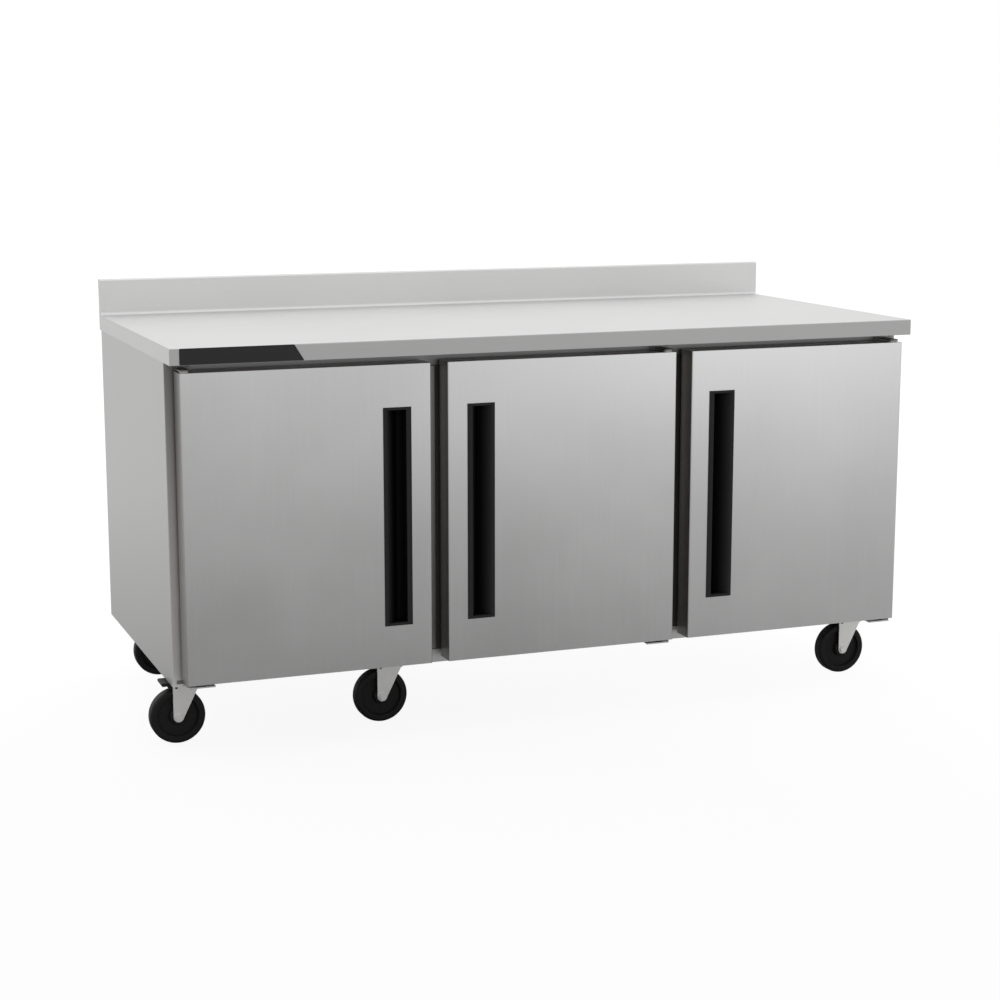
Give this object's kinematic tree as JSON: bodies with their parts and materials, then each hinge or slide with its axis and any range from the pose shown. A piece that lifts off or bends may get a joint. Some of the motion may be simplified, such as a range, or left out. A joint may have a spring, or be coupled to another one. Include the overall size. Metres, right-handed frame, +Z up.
{
  "type": "reach-in refrigerator",
  "caption": "Worktop reach-in refrigerator: insulated stainless cabinet with swing doors, recessed black pulls, a backsplash, wire shelves and braked swivel casters.",
  "frame": {"origin": "on the floor, at the middle of the whole outline; the left casters trail past the worktop, so the cabinet stands 19.5 mm to the right of it", "axes": "+X along the worktop to the right seen from the front, +Y from the doors to the back, +Z up"},
  "size_m": [1.868, 0.83, 1.003],
  "materials": {
    "stainless": "brushed, satin",
    "galvanised": "galvanised, dull",
    "board": "raw board",
    "insulation": "rigid foam",
    "liner": "satin sheet",
    "black_plastic": "moulded, fine grain",
    "shelf_wire": "epoxy-coated wire",
    "fins": "bright fins",
    "motor": "black paint",
    "black_enamel": "gloss enamel",
    "condenser": "dark coated fins",
    "copper": "drawn tube",
    "hinge_steel": "dark plated",
    "zinc": "zinc plated",
    "gasket": "soft extrusion",
    "handle_plastic": "moulded, satin",
    "bush_plastic": "nylon",
    "wheel_rubber": "dark tread",
    "pedal_steel": "black coated"
  },
  "bodies": {
    "root": {"worktop": "stainless", "worktop_core": "board", "left_side_panel": "stainless", "right_side_panel": "stainless", "rear_panel": "galvanised", "base_panel": "galvanised", "cabinet_insulation": "insulation", "inner_liner": "liner", "breaker_frame": "black_plastic", "front_frame": "stainless", "shelf_left": "shelf_wire", "shelf_centre": "shelf_wire", "shelf_right": "shelf_wire", "shelf_supports": "liner", "evaporator_coil": "fins", "evaporator_cover": "liner", "fan_motors": "motor", "compressor": "black_enamel", "condenser_coil": "condenser", "drain_pan": "liner", "rear_grille": "galvanised", "control_box": "black_plastic", "refrigerant_lines": "copper", "hinge_brackets": "hinge_steel", "caster_plates": "zinc"},
    "left_door": {"left_door_skin": "stainless", "left_door_foam": "insulation", "left_door_liner": "liner", "left_door_gasket": "gasket", "left_door_handle": "handle_plastic", "left_door_bushes": "bush_plastic"},
    "centre_door": {"centre_door_skin": "stainless", "centre_door_foam": "insulation", "centre_door_liner": "liner", "centre_door_gasket": "gasket", "centre_door_handle": "handle_plastic", "centre_door_bushes": "bush_plastic"},
    "right_door": {"right_door_skin": "stainless", "right_door_foam": "insulation", "right_door_liner": "liner", "right_door_gasket": "gasket", "right_door_handle": "handle_plastic", "right_door_bushes": "bush_plastic"},
    "front_left_caster": {"front_left_fork": "zinc"},
    "front_left_roller": {"front_left_wheel": "wheel_rubber"},
    "front_left_brake": {"front_left_pedal": "pedal_steel"},
    "front_middle_caster": {"front_middle_fork": "zinc"},
    "front_middle_roller": {"front_middle_wheel": "wheel_rubber"},
    "front_middle_brake": {"front_middle_pedal": "pedal_steel"},
    "front_right_caster": {"front_right_fork": "zinc"},
    "front_right_roller": {"front_right_wheel": "wheel_rubber"},
    "front_right_brake": {"front_right_pedal": "pedal_steel"},
    "rear_left_caster": {"rear_left_fork": "zinc"},
    "rear_left_roller": {"rear_left_wheel": "wheel_rubber"},
    "rear_middle_caster": {"rear_middle_fork": "zinc"},
    "rear_middle_roller": {"rear_middle_wheel": "wheel_rubber"},
    "rear_right_caster": {"rear_right_fork": "zinc"},
    "rear_right_roller": {"rear_right_wheel": "wheel_rubber"},
    "evaporator_rotor": {"evaporator_fan": "black_plastic"},
    "condenser_rotor": {"condenser_fan": "black_plastic"}
  },
  "joints": [
    {"name": "left_door_hinge", "type": "hinge", "parent": "root", "child": "left_door", "pos_m": [-0.86, -0.393, 0.167], "axis": [0, 0, -1], "range_deg": [0, 110]},
    {"name": "centre_door_hinge", "type": "hinge", "parent": "root", "child": "centre_door", "pos_m": [0.29, -0.393, 0.167], "axis": [0, 0, 1], "range_deg": [0, 110]},
    {"name": "right_door_hinge", "type": "hinge", "parent": "root", "child": "right_door", "pos_m": [0.899, -0.393, 0.167], "axis": [0, 0, 1], "range_deg": [0, 110]},
    {"name": "front_left_swivel", "type": "hinge", "parent": "root", "child": "front_left_caster", "pos_m": [-0.8385, -0.269, 0.14], "axis": [0, 0, 1], "continuous": true},
    {"name": "front_left_roll", "type": "hinge", "parent": "front_left_caster", "child": "front_left_roller", "pos_m": [-0.8705, -0.269, 0.0635], "axis": [0, 1, 0], "continuous": true},
    {"name": "front_left_brake_pedal", "type": "hinge", "parent": "front_left_caster", "child": "front_left_brake", "pos_m": [-0.8745, -0.269, 0.133], "axis": [0, -1, 0], "range_deg": [0, 12]},
    {"name": "front_middle_swivel", "type": "hinge", "parent": "root", "child": "front_middle_caster", "pos_m": [-0.3555, -0.269, 0.14], "axis": [0, 0, 1], "continuous": true},
    {"name": "front_middle_roll", "type": "hinge", "parent": "front_middle_caster", "child": "front_middle_roller", "pos_m": [-0.3875, -0.269, 0.0635], "axis": [0, 1, 0], "continuous": true},
    {"name": "front_middle_brake_pedal", "type": "hinge", "parent": "front_middle_caster", "child": "front_middle_brake", "pos_m": [-0.3915, -0.269, 0.133], "axis": [0, -1, 0], "range_deg": [0, 12]},
    {"name": "front_right_swivel", "type": "hinge", "parent": "root", "child": "front_right_caster", "pos_m": [0.8775, -0.269, 0.14], "axis": [0, 0, 1], "continuous": true},
    {"name": "front_right_roll", "type": "hinge", "parent": "front_right_caster", "child": "front_right_roller", "pos_m": [0.8455, -0.269, 0.0635], "axis": [0, 1, 0], "continuous": true},
    {"name": "front_right_brake_pedal", "type": "hinge", "parent": "front_right_caster", "child": "front_right_brake", "pos_m": [0.8415, -0.269, 0.133], "axis": [0, -1, 0], "range_deg": [0, 12]},
    {"name": "rear_left_swivel", "type": "hinge", "parent": "root", "child": "rear_left_caster", "pos_m": [-0.7565, 0.328, 0.14], "axis": [0, 0, 1], "continuous": true},
    {"name": "rear_left_roll", "type": "hinge", "parent": "rear_left_caster", "child": "rear_left_roller", "pos_m": [-0.7885, 0.328, 0.0635], "axis": [0, 1, 0], "continuous": true},
    {"name": "rear_middle_swivel", "type": "hinge", "parent": "root", "child": "rear_middle_caster", "pos_m": [-0.3555, 0.328, 0.14], "axis": [0, 0, 1], "continuous": true},
    {"name": "rear_middle_roll", "type": "hinge", "parent": "rear_middle_caster", "child": "rear_middle_roller", "pos_m": [-0.3875, 0.328, 0.0635], "axis": [0, 1, 0], "continuous": true},
    {"name": "rear_right_swivel", "type": "hinge", "parent": "root", "child": "rear_right_caster", "pos_m": [0.7955, 0.328, 0.14], "axis": [0, 0, 1], "continuous": true},
    {"name": "rear_right_roll", "type": "hinge", "parent": "rear_right_caster", "child": "rear_right_roller", "pos_m": [0.7635, 0.328, 0.0635], "axis": [0, 1, 0], "continuous": true},
    {"name": "evaporator_fan_spin", "type": "hinge", "parent": "root", "child": "evaporator_rotor", "pos_m": [0.0195, 0.263, 0.659], "axis": [0, 1, 0], "continuous": true},
    {"name": "condenser_fan_spin", "type": "hinge", "parent": "root", "child": "condenser_rotor", "pos_m": [0.1495, 0.299, 0.321], "axis": [0, 1, 0], "continuous": true}
  ]
}
